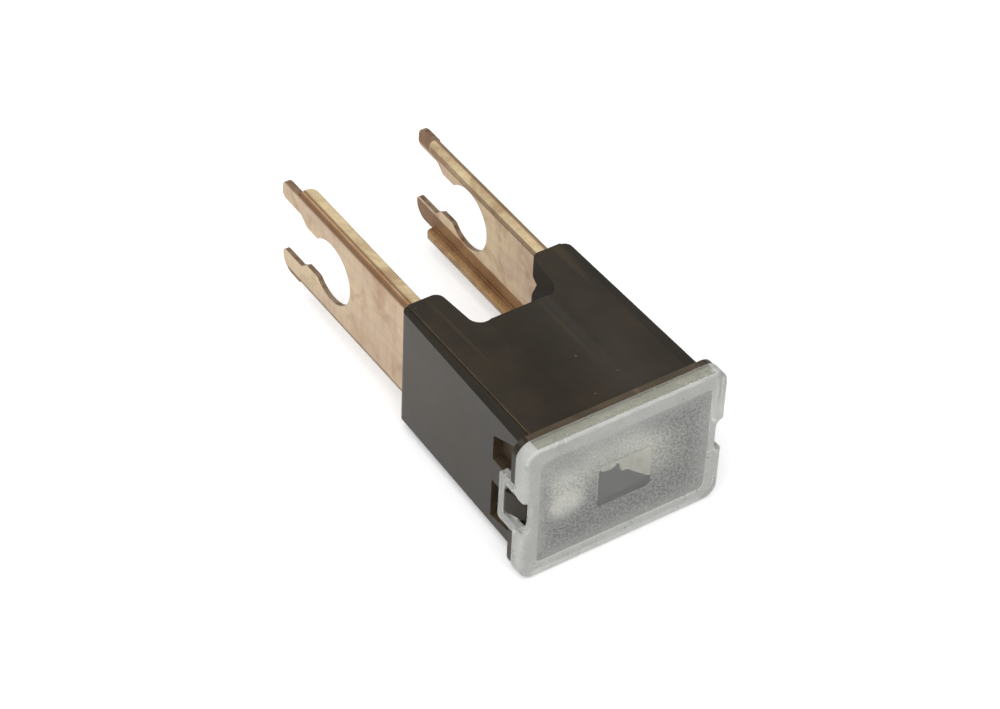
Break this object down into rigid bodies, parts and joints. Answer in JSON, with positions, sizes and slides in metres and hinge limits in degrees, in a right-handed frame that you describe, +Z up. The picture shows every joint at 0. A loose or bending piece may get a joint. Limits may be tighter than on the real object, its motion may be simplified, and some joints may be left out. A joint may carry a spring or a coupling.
{
  "type": "fuse",
  "caption": "Bolt-down cartridge fuse with a dark moulded housing, a clear latched cover and a pair of forked copper-alloy legs.",
  "frame": {"origin": "middle of the part's footprint, on the plane that the cover's lower edge touches as the fuse lies on its broad side", "axes": "+X across the cover, +Y from the cover towards the forked ends of the legs, +Z up, out of the upper broad face"},
  "size_m": [0.022, 0.0464, 0.0158],
  "materials": {
    "housing": "moulded brown-black thermoplastic",
    "cover": "clear plastic, frosted on the front panel, polished on the window",
    "terminal": "bare copper alloy sheet with rolling marks",
    "fuse_link": "tinned copper-alloy strip",
    "tin_pellet": "dull tin"
  },
  "bodies": {
    "root": {"housing": "housing", "cover": "cover", "terminal_left": "terminal", "terminal_right": "terminal", "fuse_link": "fuse_link", "tin_pellet": "tin_pellet"}
  },
  "joints": []
}
